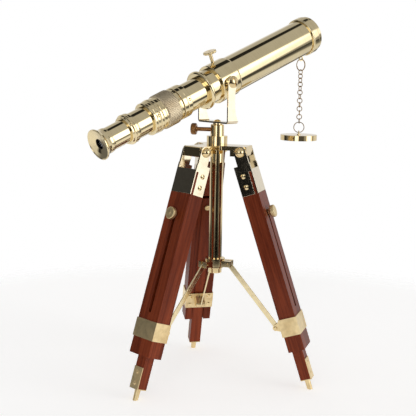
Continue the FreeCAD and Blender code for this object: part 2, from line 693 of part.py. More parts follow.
def upper_leg():
    wood = box(WOOD_INNER_X, WOOD_OUTER_X, -WOOD_HALF, WOOD_HALF, WOOD_BOTTOM, STRAP_BOTTOM)
    neck_x = WOOD_OUTER_X - PLATE_THICK
    neck = box(WOOD_INNER_X, neck_x, -STRAP_INNER_Y, STRAP_INNER_Y, STRAP_BOTTOM, WOOD_TOP)
    wood = wood.fuse([neck, corner_wood()]).removeSplitter()
    half = CHANNEL_HALF
    channel = box(WOOD_INNER_X - 1, CHANNEL_FLOOR_X, -half, half, WOOD_BOTTOM - 1, CHANNEL_TOP)
    slot_end = SLOT_TOP - LEG_TRAVEL
    slot = box(0, 20, -SLOT_HALF, SLOT_HALF, slot_end, SLOT_TOP)
    top_end = rod(V(0, 0, SLOT_TOP), AXIS_X, SLOT_HALF, 20)
    low_end = rod(V(0, 0, slot_end), AXIS_X, SLOT_HALF, 20)
    return wood.cut([channel, slot, top_end, low_end])


def leg_collar():
    """A sheet wrapped round the leg, closed at the back by a plate with the strut's fork."""
    outer_x = WOOD_OUTER_X + COLLAR_SHEET
    half = WOOD_HALF + COLLAR_SHEET
    plate_x = WOOD_INNER_X - COLLAR_PLATE
    wrap = box(plate_x, outer_x, -half, half, COLLAR_BOTTOM, COLLAR_TOP)
    wood = box(WOOD_INNER_X, WOOD_OUTER_X, -WOOD_HALF, WOOD_HALF, COLLAR_BOTTOM - 1, COLLAR_TOP + 1)
    wrap = wrap.cut(wood)
    base_z = STRUT_PIN_Z
    fork = box(STRUT_PIN_X, plate_x, -FORK_HALF, FORK_HALF, base_z - 6.5, base_z + 6.5)
    nose = rod(V(STRUT_PIN_X, -FORK_HALF, base_z), AXIS_Y, FORK_R, 2 * FORK_HALF)
    trim_top = Part.Face(Part.makePolygon([
        V(STRUT_PIN_X, -9, base_z + FORK_R), V(plate_x, -9, base_z + 6.5), V(plate_x, -9, base_z + 9),
        V(STRUT_PIN_X - 9, -9, base_z + 9), V(STRUT_PIN_X - 9, -9, base_z + FORK_R),
        V(STRUT_PIN_X, -9, base_z + FORK_R)])).extrude(AXIS_Y * 18)
    trim_low = trim_top.mirror(V(0, 0, base_z), AXIS_Z)
    fork = fork.fuse(nose).cut([trim_top, trim_low])
    gap = box(STRUT_PIN_X - 9, plate_x - 0.4, -FORK_SLOT_HALF, FORK_SLOT_HALF, base_z - 20, base_z + 20)
    fork = fork.cut(gap)
    heads = []
    for side in (-1, 1):
        heads.append(dome(V(STRUT_PIN_X, side * FORK_HALF, base_z), AXIS_Y * side, 2.0, 0.9))
    return wrap.fuse([fork] + heads).removeSplitter()


def pan_screw(seat, direction, across):
    """A slotted head with a short straight rim under its dome."""
    rim = rod(seat, direction, SCREW_R, SCREW_RIM)
    return rim.fuse(slotted_head(seat + direction * SCREW_RIM, direction, across, SCREW_R, SCREW_H))


def leg_screws():
    """Slotted screws of the straps and of the collar's back plate."""
    screws = []
    for side in (-1, 1):
        for z in (-25.4, -37.2):
            screws.append(pan_screw(V(SCREW_X, side * WOOD_HALF, z), AXIS_Y * side, AXIS_X))
        for z in (COLLAR_TOP - 4.2, COLLAR_BOTTOM + 4.2):
            seat = V(WOOD_INNER_X - COLLAR_PLATE, side * 11.4, z)
            screws.append(pan_screw(seat, -AXIS_X, AXIS_Z))
    return screws


def inner_leg():
    bar = box(INNER_INNER_X, INNER_OUTER_X, -INNER_HALF, INNER_HALF, INNER_BOTTOM, INNER_TOP)
    bolt = rod(V(-20, 0, SLOT_TOP), AXIS_X, BOLT_R + RUN_FIT, 40)
    return bar.cut(bolt)


def foot_shoe():
    """The foot's face plate with its lip and two screws, and the ferrule on the leg's end."""
    half = INNER_HALF
    seat_x = INNER_OUTER_X + SHOE_SHEET
    face = box(INNER_OUTER_X, seat_x, -half, half, INNER_BOTTOM, SHOE_TOP)
    lip = box(INNER_INNER_X, seat_x, -half, half, INNER_BOTTOM - SHOE_SHEET, INNER_BOTTOM)
    plate = face.fuse(lip).removeSplitter()
    screws = []
    for z in (SHOE_TOP - 5.2, INNER_BOTTOM + 5.2):
        screws.append(slotted_head(V(seat_x, 0, z), AXIS_X, AXIS_Y, SMALL_SCREW_R, SMALL_SCREW_H))
    start = INNER_BOTTOM - SHOE_SHEET
    centre_x = (INNER_INNER_X + INNER_OUTER_X) / 2
    length = start - FERRULE_TIP
    ferrule = Part.makeCone(FERRULE_R, FERRULE_TIP_R, length + 3, V(centre_x, 0, start), -AXIS_Z)
    return plate, screws, ferrule


def clamp_knob():
    """The clamp: a bolt through the inner leg and a turned knob that grips the outer face."""
    head_x = INNER_INNER_X - 0.1
    shank = rod(V(head_x, 0, SLOT_TOP), AXIS_X, BOLT_R, KNOB_SEAT_X - head_x)
    head = slotted_head(V(head_x, 0, SLOT_TOP), -AXIS_X, AXIS_Y, BOLT_HEAD_R, BOLT_HEAD_H)
    neck = rod(V(KNOB_SEAT_X, 0, SLOT_TOP), AXIS_X, KNOB_NECK_R, KNOB_NECK_X - KNOB_SEAT_X)
    knob = rod(V(KNOB_NECK_X, 0, SLOT_TOP), AXIS_X, KNOB_R, KNOB_END_X - KNOB_NECK_X)
    knob = knob.makeFillet(0.9, knob.Edges)
    return shank.fuse([head, neck, knob]).removeSplitter()


def strut_pin_point():
    """The strut's lower pin in the plane of a leg, as distance from the column and height."""
    angle = math.radians(LEG_SPREAD)
    x = HINGE_R + STRUT_PIN_X * math.cos(angle) - STRUT_PIN_Z * math.sin(angle)
    z = HINGE_Z + STRUT_PIN_X * math.sin(angle) + STRUT_PIN_Z * math.cos(angle)
    return V(x, 0, z)


def strut():
    """A flat bar with round ends from the spreader's fork to the collar's fork."""
    high = V(HUB_PIN_X, -STRUT_THICK / 2, HUB_PIN_Z)
    low = strut_pin_point() - AXIS_Y * (STRUT_THICK / 2)
    span = low - high
    bar = Part.makeBox(span.Length, STRUT_THICK, 2 * STRUT_HALF, V(0, 0, -STRUT_HALF))
    lean = math.degrees(math.atan2(high.z - low.z, low.x - high.x))
    bar.Placement = FreeCAD.Placement(high, FreeCAD.Rotation(AXIS_Y, lean))
    ends = [rod(high, AXIS_Y, STRUT_HALF, STRUT_THICK), rod(low, AXIS_Y, STRUT_HALF, STRUT_THICK)]
    hole = rod(high - AXIS_Y, AXIS_Y, HUB_PIN_R + RUN_FIT, STRUT_THICK + 2)
    return bar.fuse(ends).removeSplitter().cut(hole)


def cut_at_floor(shape):
    """Flatten a foot where it stands."""
    return shape.cut(box(-400, 400, -400, 400, -60, 0))


def save_telescope():
    single = [objective_barrel, objective_ring, objective_lens, barrel_rear_ring, barrel_end_ring]
    single += [cap_eye, body_tube, front_collar, focus_ring, draw_collar, erector_lens, draw_tube_large]
    single += [draw_ring, draw_tube_small, eyecup, eye_lens]
    for make in single:
        save(make.__name__, on_tube(make()))
    save("barrel_clamp_screw", on_tube(clamp_screw()))
    save("pivot_screws", *[on_tube(screw) for screw in pivot_screws()])
    save("collar_screws", *[on_tube(screw) for screw in collar_screws()])


def save_chain():
    save("top_split_ring", wire_ring(hanger_centre(), AXIS_X, HANGER_R, HANGER_WIRE_R))
    save("chain_links", *chain_links())
    save("cap_split_ring", wire_ring(cap_ring_centre(), ring_normal(), CAP_RING_R, HANGER_WIRE_R))
    save("cap_loop", cap_loop())
    save("lens_cap", lens_cap())


def save_stand():
    for make in (yoke, yoke_screw, swivel_stem, post, post_lock_screw, head_casting, center_column):
        save(make.__name__, make())
    save("column_stop", column_stop())
    save("leg_pivot_bolts", *leg_pivot_bolts())
    save("spreader_hub", spreader_hub())
    save("hub_pins", *hub_pins())


def save_leg(index):
    number = str(index + 1)
    for make in (leg_bracket, upper_leg, leg_collar, inner_leg, clamp_knob):
        save(make.__name__ + "_" + number, on_leg(make(), index))
    save("leg_screws_" + number, *[on_leg(screw, index) for screw in leg_screws()])
    plate, screws, ferrule = foot_shoe()
    standing = cut_at_floor(on_leg(ferrule, index))
    save("foot_shoe_" + number, on_leg(plate, index), *[on_leg(s, index) for s in screws], standing)
    save("strut_" + number, round_column(strut(), leg_azimuth(index)))


os.makedirs("parts", exist_ok=True)
save_telescope()
save_chain()
save_stand()
for leg_index in range(LEG_COUNT):
    save_leg(leg_index)
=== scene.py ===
"""Finishes and fine detail for a brass telescope on a wooden tripod.

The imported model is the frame. Turned pieces are drawn about the tube's own axis and leg pieces
in the frame of their own leg, in millimetres, and stand where the model has them.
"""
import math

import bmesh
import bpy
from mathutils import Matrix, Vector


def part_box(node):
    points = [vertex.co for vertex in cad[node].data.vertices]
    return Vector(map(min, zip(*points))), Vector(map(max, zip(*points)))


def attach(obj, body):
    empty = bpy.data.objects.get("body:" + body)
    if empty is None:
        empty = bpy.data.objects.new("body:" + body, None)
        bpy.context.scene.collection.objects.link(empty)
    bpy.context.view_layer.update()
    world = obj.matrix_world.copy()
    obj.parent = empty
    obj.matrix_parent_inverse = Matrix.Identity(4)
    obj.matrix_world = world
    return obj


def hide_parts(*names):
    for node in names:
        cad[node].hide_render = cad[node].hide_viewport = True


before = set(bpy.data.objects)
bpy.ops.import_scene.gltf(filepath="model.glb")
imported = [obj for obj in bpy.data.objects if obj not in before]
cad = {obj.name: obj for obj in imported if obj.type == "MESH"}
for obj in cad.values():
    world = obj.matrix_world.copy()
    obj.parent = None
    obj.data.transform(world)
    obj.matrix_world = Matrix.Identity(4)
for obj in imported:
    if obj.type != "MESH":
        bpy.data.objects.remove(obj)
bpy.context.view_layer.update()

# Lengths are in millimetres and angles in degrees, unless a comment says metres.
MM = 0.001
TILT_Z = 326.0
ELEVATION = 22.0
LEG_AZIMUTHS = (183.0, 303.0, 423.0)
LEG_SPREAD = 18.4
HINGE_R = 29.3
HINGE_Z = 253.2
LOCK_AZIMUTH = 128.0
LOCK_Z = 275.2
LEG_KNOB_Z = -69.5
LEGS = range(len(LEG_AZIMUTHS))

# Outer and bore radii of the sliding tubes.
BARREL_R, BARREL_BORE = 19.5, 18.3
BODY_R, BODY_BORE = 15.4, 14.2
LARGE_R, LARGE_BORE = 13.8, 12.7
SMALL_R, SMALL_BORE = 11.9, 10.8


# ---- places ----
def turn(degrees, axis):
    return Matrix.Rotation(math.radians(degrees), 4, axis)


def shift(x, y, z):
    return Matrix.Translation((x * MM, y * MM, z * MM))


ON_TUBE = shift(0, 0, TILT_Z) @ turn(-ELEVATION, "Y")
UPRIGHT = turn(-90, "Y")
ON_LEG = [turn(azimuth, "Z") @ shift(HINGE_R, 0, HINGE_Z) @ turn(-LEG_SPREAD, "Y")
          for azimuth in LEG_AZIMUTHS]


# ---- shader groups ----
def new_group(name, inputs, outputs):
    """An empty shader group with named sockets."""
    tree = bpy.data.node_groups.new(name, "ShaderNodeTree")
    for label, kind, value in inputs:
        socket = tree.interface.new_socket(name=label, in_out="INPUT", socket_type=kind)
        socket.default_value = value
    for label, kind in outputs:
        tree.interface.new_socket(name=label, in_out="OUTPUT", socket_type=kind)
    return tree, tree.nodes.new("NodeGroupInput"), tree.nodes.new("NodeGroupOutput")


COLOR = "NodeSocketColor"
NUMBER = "NodeSocketFloat"
VECTOR = "NodeSocketVector"


# Waves per metre along each axis of a piece's own frame.
LATHE_LINES = (2600.0, 30.0, 30.0)
FINE_LINES = (5200.0, 260.0, 260.0)
ALL_WAYS = (260.0, 260.0, 260.0)
WIPING_MARKS = (150.0, 150.0, 400.0)
WOOD_FIGURE = (70.0, 70.0, 5.0)
GROWTH_LINES = (520.0, 420.0, 11.0)
OPEN_PORES = (1700.0, 1700.0, 75.0)


def noise(tree, vector, scale, detail, rough=0.55, distortion=0.0):
    node = tree.nodes.new("ShaderNodeTexNoise")
    node.inputs["Scale"].default_value = scale
    node.inputs["Detail"].default_value = detail
    node.inputs["Roughness"].default_value = rough
    node.inputs["Distortion"].default_value = distortion
    tree.links.new(vector, node.inputs["Vector"])
    return node.outputs["Fac"]


def stretched(tree, vector, stretch):
    """Coordinates multiplied by a constant or linked stretch."""
    node = tree.nodes.new("ShaderNodeVectorMath")
    node.operation = "MULTIPLY"
    tree.links.new(vector, node.inputs[0])
    if isinstance(stretch, tuple):
        node.inputs[1].default_value = stretch
    else:
        tree.links.new(stretch, node.inputs[1])
    return node.outputs["Vector"]


def own_frame(tree, home, facing):
    """Coordinates in a piece's own frame, from where that frame stands in the model."""
    node = tree.nodes.new("ShaderNodeMapping")
    node.vector_type = "TEXTURE"
    tree.links.new(tree.nodes.new("ShaderNodeTexCoord").outputs["Object"], node.inputs["Vector"])
    tree.links.new(home, node.inputs["Location"])
    tree.links.new(facing, node.inputs["Rotation"])
    return node.outputs["Vector"]


def remap(tree, value, low, high, to_low=0.0, to_high=1.0):
    """A smooth ramp from to_low, at low, to to_high, at high."""
    node = tree.nodes.new("ShaderNodeMapRange")
    node.interpolation_type = "SMOOTHSTEP"
    node.inputs["From Min"].default_value = low
    node.inputs["From Max"].default_value = high
    node.inputs["To Min"].default_value = to_low
    node.inputs["To Max"].default_value = to_high
    tree.links.new(value, node.inputs["Value"])
    return node.outputs["Result"]


def calc(tree, operation, first, second):
    """One step of arithmetic on two numbers or linked values."""
    node = tree.nodes.new("ShaderNodeMath")
    node.operation = operation
    for socket, value in zip(node.inputs, (first, second)):
        if isinstance(value, (int, float)):
            socket.default_value = value
        else:
            tree.links.new(value, socket)
    return node.outputs["Value"]


def blend_colors(tree, amount, first, second):
    """The first colour where amount is 0, and the second where it is 1."""
    node = tree.nodes.new("ShaderNodeMix")
    node.data_type = "RGBA"
    for label, value in (("Factor_Float", amount), ("A_Color", first), ("B_Color", second)):
        socket = next(s for s in node.inputs if s.identifier == label)
        tree.links.new(value, socket)
    return next(s for s in node.outputs if s.identifier == "Result_Color")


def build_brass_surface():
    """Polished brass: cloudy thin tarnish, wiping marks, and fine lines left by the lathe."""
    tree, given, result = new_group(
        "brass_surface",
        [("Metal", COLOR, (0.86, 0.72, 0.43, 1)), ("Tarnish", COLOR, (0.45, 0.27, 0.09, 1)),
         ("Tarnish Amount", NUMBER, 0.2), ("Polish", NUMBER, 0.08), ("Dulling", NUMBER, 0.1),
         ("Line Stretch", VECTOR, LATHE_LINES), ("Home", VECTOR, (0.0, 0.0, 0.0)),
         ("Facing", VECTOR, (0.0, 0.0, 0.0))],
        [("Color", COLOR), ("Roughness", NUMBER), ("Height", NUMBER)])
    place = own_frame(tree, given.outputs["Home"], given.outputs["Facing"])
    clouds = remap(tree, noise(tree, place, scale=55.0, detail=6.0), low=0.42, high=0.72)
    specks = remap(tree, noise(tree, place, scale=1400.0, detail=3.0), low=0.62, high=0.78)
    along_lines = stretched(tree, place, given.outputs["Line Stretch"])
    lines = noise(tree, along_lines, scale=1.0, detail=3.0)
    wiping = noise(tree, stretched(tree, place, WIPING_MARKS), scale=1.0, detail=4.0, rough=0.6,
                   distortion=0.8)
    faint_specks = calc(tree, "MULTIPLY", specks, 0.6)
    marks = calc(tree, "MAXIMUM", clouds, faint_specks)
    amount = calc(tree, "MULTIPLY", marks, given.outputs["Tarnish Amount"])
    color = blend_colors(tree, amount, given.outputs["Metal"], given.outputs["Tarnish"])
    shade = remap(tree, lines, low=0.3, high=0.7, to_low=0.93, to_high=1.04)
    tint = tree.nodes.new("ShaderNodeVectorMath")
    tint.operation = "SCALE"
    tree.links.new(color, tint.inputs[0])
    tree.links.new(shade, tint.inputs["Scale"])
    tree.links.new(tint.outputs["Vector"], result.inputs["Color"])
    dull = calc(tree, "MULTIPLY", calc(tree, "ADD", wiping, clouds), given.outputs["Dulling"])
    rough = calc(tree, "ADD", given.outputs["Polish"], dull)
    tree.links.new(rough, result.inputs["Roughness"])
    mostly_lines = calc(tree, "MULTIPLY", lines, 0.7)
    some_wiping = calc(tree, "MULTIPLY", wiping, 0.3)
    bumps = calc(tree, "ADD", mostly_lines, some_wiping)
    tree.links.new(bumps, result.inputs["Height"])
    return tree


def build_wood_grain():
    """Stained straight-grained wood: broad figure, narrow growth lines and short open pores."""
    tree, given, result = new_group(
        "wood_grain",
        [("Light", COLOR, (0.3, 0.07, 0.03, 1)), ("Dark", COLOR, (0.1, 0.015, 0.006, 1)),
         ("Pore", COLOR, (0.03, 0.005, 0.003, 1)), ("Home", VECTOR, (0.0, 0.0, 0.0)),
         ("Facing", VECTOR, (0.0, 0.0, 0.0)), ("Polish", NUMBER, 0.3), ("Dulling", NUMBER, 0.15)],
        [("Color", COLOR), ("Roughness", NUMBER), ("Height", NUMBER)])
    place = own_frame(tree, given.outputs["Home"], given.outputs["Facing"])
    figure = noise(tree, stretched(tree, place, WOOD_FIGURE), scale=1.0, detail=5.0, rough=0.6,
                   distortion=0.7)
    growth = noise(tree, stretched(tree, place, GROWTH_LINES), scale=1.0, detail=5.0, rough=0.6,
                   distortion=0.4)
    pores = noise(tree, stretched(tree, place, OPEN_PORES), scale=1.0, detail=3.0, rough=0.6)
    figure_part = calc(tree, "MULTIPLY", figure, 0.55)
    growth_part = calc(tree, "MULTIPLY", growth, 0.45)
    tone = remap(tree, calc(tree, "ADD", figure_part, growth_part), low=0.36, high=0.66)
    stained = blend_colors(tree, tone, given.outputs["Dark"], given.outputs["Light"])
    open_pores = remap(tree, pores, low=0.6, high=0.74)
    pore_depth = calc(tree, "MULTIPLY", open_pores, 0.75)
    color = blend_colors(tree, pore_depth, stained, given.outputs["Pore"])
    tree.links.new(color, result.inputs["Color"])
    dull = calc(tree, "MULTIPLY", calc(tree, "ADD", growth, open_pores), given.outputs["Dulling"])
    tree.links.new(calc(tree, "ADD", given.outputs["Polish"], dull), result.inputs["Roughness"])
    low_growth = calc(tree, "MULTIPLY", growth, 0.4)
    height = calc(tree, "SUBTRACT", low_growth, open_pores)
    tree.links.new(height, result.inputs["Height"])
    return tree


BRASS_SURFACE = build_brass_surface()
WOOD_GRAIN = build_wood_grain()


# ---- finishes ----
def new_finish(name, group, values, bump):
    """A finish whose colour, roughness and bump come from a group with its own values.

    The bump is a strength and a distance.
    """
    finish = bpy.data.materials.new(name)
    finish.use_nodes = True
    tree = finish.node_tree
    shader = tree.nodes["Principled BSDF"]
    surface = tree.nodes.new("ShaderNodeGroup")
    surface.node_tree = group
    for label, value in values.items():
        surface.inputs[label].default_value = value
    tree.links.new(surface.outputs["Color"], shader.inputs["Base Color"])
    tree.links.new(surface.outputs["Roughness"], shader.inputs["Roughness"])
    relief = tree.nodes.new("ShaderNodeBump")
    strength, distance = bump
    relief.inputs["Strength"].default_value = strength
    relief.inputs["Distance"].default_value = distance * MM
    tree.links.new(surface.outputs["Height"], relief.inputs["Height"])
    tree.links.new(relief.outputs["Normal"], shader.inputs["Normal"])
    return finish, shader


PALE_BRASS = (0.85, 0.715, 0.44, 1)
CREAM_BRASS = (0.86, 0.76, 0.57, 1)
WARM_BRASS = (0.83, 0.66, 0.37, 1)
GREY_BRASS = (0.62, 0.52, 0.36, 1)
DARK_BRASS = (0.40, 0.27, 0.12, 1)
COPPER_BRASS = (0.26, 0.13, 0.055, 1)
BROWN_FILM = (0.42, 0.25, 0.09, 1)
STAIN_LIGHT = (0.26, 0.048, 0.015, 1)
STAIN_DARK = (0.10, 0.013, 0.003, 1)
LATHE_TURNED = (0.12, 0.02)
SMOOTH = (0.04, 0.02)


def brass(name, metal, tarnish, polish, dulling, lines, place=None, relief=LATHE_TURNED):
    """Brass with its own tarnish, from 0 to 1, and roughness, which dulling adds to in places."""
    values = {"Metal": metal, "Tarnish": BROWN_FILM, "Tarnish Amount": tarnish, "Polish": polish,
              "Dulling": dulling, "Line Stretch": lines}
    if place is not None:
        values["Home"] = place.to_translation()
        values["Facing"] = place.to_euler()
    finish, shader = new_finish(name, BRASS_SURFACE, values, relief)
    shader.inputs["Metallic"].default_value = 1.0
    return finish


POLISHED = brass("polished_brass_tube", PALE_BRASS, 0.10, 0.03, 0.04, LATHE_LINES, ON_TUBE)
RING_BRASS = brass("polished_brass_rings", PALE_BRASS, 0.14, 0.04, 0.05, LATHE_LINES, ON_TUBE)
KNURLED = brass("satin_knurled_brass", GREY_BRASS, 0.25, 0.30, 0.12, FINE_LINES, ON_TUBE,
                relief=(0.4, 0.06))
COLUMN_BRASS = brass("polished_brass_column", WARM_BRASS, 0.16, 0.04, 0.05, LATHE_LINES, UPRIGHT)
SHEET_BRASS = brass("lacquered_sheet_brass", CREAM_BRASS, 0.12, 0.04, 0.045, ALL_WAYS,
                    relief=SMOOTH)
STRUT_BRASS = brass("lacquered_bar_brass", PALE_BRASS, 0.16, 0.10, 0.06, ALL_WAYS, relief=SMOOTH)
CAST_BRASS = brass("lacquered_cast_brass", WARM_BRASS, 0.16, 0.05, 0.05, ALL_WAYS,
                   relief=(0.06, 0.03))
SCREW_BRASS = brass("screw_brass", WARM_BRASS, 0.2, 0.05, 0.05, ALL_WAYS, relief=SMOOTH)
AGED_BRASS = brass("aged_fitting_brass", WARM_BRASS, 0.40, 0.25, 0.14, ALL_WAYS,
                   relief=(0.10, 0.03))
KNOB_BRASS = brass("satin_knob_brass", WARM_BRASS, 0.35, 0.28, 0.12, ALL_WAYS,
                   relief=(0.15, 0.04))
LOCK_BRASS = brass("aged_lock_brass", COPPER_BRASS, 0.3, 0.10, 0.08, ALL_WAYS, relief=SMOOTH)
WIRE_BRASS = brass("chain_wire_brass", DARK_BRASS, 0.3, 0.18, 0.08, ALL_WAYS, relief=SMOOTH)

# Metres from a leg's hinge to the part of the plank that the pieces are cut from.
IN_THE_PLANK = (0.31, 0.17)
NEXT_CUT = 0.4


def wood(name, place, length_shift):
    """Stained wood whose grain runs along the leg, each piece from its own part of the plank."""
    home = place.to_translation() + Vector((*IN_THE_PLANK, length_shift))
    values = {"Light": STAIN_LIGHT, "Dark": STAIN_DARK, "Home": home, "Facing": place.to_euler()}
    finish, shader = new_finish(name, WOOD_GRAIN, values, bump=(0.25, 0.05))
    shader.inputs["Coat Weight"].default_value = 0.1
    shader.inputs["Coat Roughness"].default_value = 0.12
    shader.inputs["Specular IOR Level"].default_value = 0.1
    return finish


LEG_WOOD = [wood("mahogany_leg_" + str(i + 1), ON_LEG[i], NEXT_CUT * i) for i in LEGS]
BAR_WOOD = [wood("mahogany_bar_" + str(i + 1), ON_LEG[i], NEXT_CUT / 2 + NEXT_CUT * i)
            for i in LEGS]

BLACKENED, black_shader = new_finish(
    "blackened_bore", BRASS_SURFACE,
    {"Metal": (0.022, 0.02, 0.018, 1), "Tarnish": (0.05, 0.035, 0.02, 1), "Tarnish Amount": 0.6,
     "Polish": 0.5, "Dulling": 0.2, "Line Stretch": LATHE_LINES}, bump=(0.3, 0.05))
black_shader.inputs["Metallic"].default_value = 0.0


def optical_glass():
    """Clear lens glass with a faint clouding of dust that varies its roughness."""
    finish = bpy.data.materials.new("lens_glass")
    finish.use_nodes = True
    tree = finish.node_tree
    shader = tree.nodes["Principled BSDF"]
    shader.inputs["Base Color"].default_value = (0.93, 0.98, 0.96, 1)
    shader.inputs["Transmission Weight"].default_value = 1.0
    shader.inputs["IOR"].default_value = 1.52
    shader.inputs["Metallic"].default_value = 0.0
    place = tree.nodes.new("ShaderNodeTexCoord").outputs["Object"]
    dust = noise(tree, place, scale=220.0, detail=5.0)
    haze = remap(tree, dust, low=0.45, high=0.8, to_high=0.09)
    tree.links.new(haze, shader.inputs["Roughness"])
    return finish


GLASS = optical_glass()


# ---- making pieces ----
def fit(name, mesh, place, body, nodes, finishes):
    """Move a mesh from its own frame to its place, on its body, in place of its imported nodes."""
    mesh.transform(place)
    piece = bpy.data.objects.new(name, mesh)
    bpy.context.scene.collection.objects.link(piece)
    for finish in finishes:
        mesh.materials.append(finish)
    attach(piece, body)
    if nodes:
        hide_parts(*nodes)
    return piece


def even_shading(piece):
    """Let the large faces decide how the surface is shaded, so the narrow ones look round."""
    weights = piece.modifiers.new("even_shading", "WEIGHTED_NORMAL")
    weights.keep_sharp = True
    weights.weight = 60


# No rounded corner takes more than this part of the straight beside it.
LONGEST_EASE = 0.4


def eased(outline, ease):
    """The closed outline with each corner rounded off by a short curve."""
    corners = [Vector(corner) for corner in outline]
    rounded = []
    for i, here in enumerate(corners):
        before = corners[i - 1] - here
        after = corners[(i + 1) % len(corners)] - here
        start = here + before.normalized() * min(ease, LONGEST_EASE * before.length)
        end = here + after.normalized() * min(ease, LONGEST_EASE * after.length)
        rounded += [start, start * 0.25 + here * 0.5 + end * 0.25, end]
    return rounded


ROUND_STEPS = 144
TOOTH_STEPS = 4


def turned_mesh(name, outline, ease, teeth=0, tooth_depth=0.0, tooth_r=0.0, dark_r=0.0):
    """A shape turned about X from closed (x, radius) points.

    With teeth, points further out than tooth_r are notched. Faces inside dark_r are blackened.
    """
    points = eased(outline, ease)
    count = len(points)
    steps = teeth * TOOTH_STEPS if teeth else ROUND_STEPS
    shape = bmesh.new()
    rings = []
    for step in range(steps):
        angle = 2 * math.pi * step / steps
        past = step % TOOTH_STEPS
        notch = tooth_depth * past * (TOOTH_STEPS - past) / TOOTH_STEPS if teeth else 0.0
        ring = []
        for x, r in points:
            radius = r - notch if teeth and r > tooth_r else r
            y = radius * math.cos(angle)
            z = radius * math.sin(angle)
            ring.append(shape.verts.new((x * MM, y * MM, z * MM)))
        rings.append(ring)
    for step in range(steps):
        ring, following = rings[step], rings[(step + 1) % steps]
        for i in range(count):
            j = (i + 1) % count
            face = shape.faces.new((ring[i], ring[j], following[j], following[i]))
            face.smooth = True
            face.material_index = 1 if max(points[i].y, points[j].y) < dark_r else 0
    bmesh.ops.recalc_face_normals(shape, faces=shape.faces)
    mesh = bpy.data.meshes.new(name)
    shape.to_mesh(mesh)
    shape.free()
    return mesh


def turned_piece(name, outline, place, body, nodes, finish, **shape):
    mesh = turned_mesh(name, outline, **shape)
    finishes = [finish, BLACKENED] if shape.get("dark_r") else [finish]
    even_shading(fit(name, mesh, place, body, nodes, finishes))


WELD_GAP = 0.002
NEARLY_FLAT = 1.5
HARD_EDGE = 35


def softened(name, nodes, body, finish, width, segments=2):
    """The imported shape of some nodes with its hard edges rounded."""
    shape = bmesh.new()
    for node in nodes:
        shape.from_mesh(cad[node].data)
    bmesh.ops.remove_doubles(shape, verts=shape.verts, dist=WELD_GAP * MM)
    bmesh.ops.dissolve_limit(shape, angle_limit=math.radians(NEARLY_FLAT), verts=shape.verts,
                             edges=shape.edges)
    for face in shape.faces:
        face.smooth = True
        face.material_index = 0
    mesh = bpy.data.meshes.new(name)
    shape.to_mesh(mesh)
    shape.free()
    piece = fit(name, mesh, Matrix.Identity(4), body, nodes, [finish])
    bevel = piece.modifiers.new("soft_edges", "BEVEL")
    bevel.width = width * MM
    bevel.segments = segments
    bevel.limit_method = "ANGLE"
    bevel.angle_limit = math.radians(HARD_EDGE)
    bevel.use_clamp_overlap = True
    even_shading(piece)


# ---- the telescope's turned pieces ----
def tube_outline(start, end, outer, bore):
    return [(start, outer), (end, outer), (end, bore), (start, bore)]


def make_barrel():
    tube = tube_outline(-8.6, 132.6, BARREL_R, BARREL_BORE)
    turned_piece("objective_barrel_tube", tube, ON_TUBE, "barrel", ["objective_barrel"], POLISHED,
                 ease=0.1, dark_r=18.6)
    front = [(129.7, BARREL_R), (129.7, 20.7), (130.3, 21.35), (131.5, 21.35), (131.8, 21.1),
             (132.1, 21.35), (139.0, 21.35), (139.8, 20.7), (139.8, 19.9), (144.0, 19.9),
             (144.0, 18.7), (142.4, 17.6), (134.1, 17.6), (134.1, 16.6), (132.6, 16.6),
             (132.6, BARREL_R)]
    turned_piece("objective_cell", front, ON_TUBE, "barrel", ["objective_ring"], RING_BRASS,
                 ease=0.3, dark_r=18.0)
    softened("barrel_trunnion_ring", ["barrel_rear_ring"], "barrel", RING_BRASS,
             0.3)
    end = [(-27.2, 15.46), (-27.2, 19.4), (-26.4, 20.6), (-25.6, 21.0), (-24.2, 21.0),
           (-23.2, 20.4), (-22.8, 18.0), (-10.2, 18.0), (-10.2, 15.46)]
    turned_piece("barrel_end_flange", end, ON_TUBE, "barrel", ["barrel_end_ring"], RING_BRASS,
                 ease=0.3)


def make_body_tube():
    shell = tube_outline(-99.0, 46.0, BODY_R, BODY_BORE)
    turned_piece("body_tube_shell", shell, ON_TUBE, "body_tube", ["body_tube"], POLISHED,
                 ease=0.1, dark_r=14.5)
    front = [(-62.4, BODY_R), (-62.4, 17.1), (-62.1, 17.4), (-57.6, 17.4), (-57.2, 17.05),
             (-56.8, 17.4), (-52.1, 17.4), (-51.3, 16.7), (-51.3, BODY_R)]
    turned_piece("focus_front_collar", front, ON_TUBE, "body_tube", ["front_collar"], RING_BRASS,
                 ease=0.2)
    rear = [(-101.7, 13.86), (-101.7, 16.1), (-100.9, 17.2), (-98.7, 17.2), (-98.3, 16.8),
            (-97.9, 17.2), (-95.6, 17.25), (-95.3, 17.0), (-95.0, 17.25), (-94.3, 17.25),
            (-94.0, 17.0), (-93.7, 17.3), (-93.4, 17.7), (-91.2, 17.7), (-91.2, BODY_R),
            (-99.0, BODY_R), (-99.0, 13.86)]
    turned_piece("draw_tube_collar", rear, ON_TUBE, "body_tube", ["draw_collar"], RING_BRASS,
                 ease=0.16)


def make_focus_ring():
    sleeve = [(-90.6, 15.46), (-90.6, 16.4), (-89.8, 17.1), (-86.4, 17.1), (-86.1, 16.85),
              (-85.8, 17.1), (-66.4, 17.1), (-66.1, 16.85), (-65.8, 17.1), (-63.5, 17.1),
              (-62.9, 16.6), (-62.9, 15.46)]
    turned_piece("focus_ring_sleeve", sleeve, ON_TUBE, "focus_ring", ["focus_ring"], RING_BRASS,
                 ease=0.2)
    grip = [(-84.4, 16.9), (-84.4, 17.4), (-83.2, 18.3), (-68.0, 18.3), (-67.2, 17.6),
            (-67.2, 16.9)]
    turned_piece("focus_ring_grip", grip, ON_TUBE, "focus_ring", [], KNURLED, ease=0.3, teeth=72,
                 tooth_depth=0.35, tooth_r=17.3)


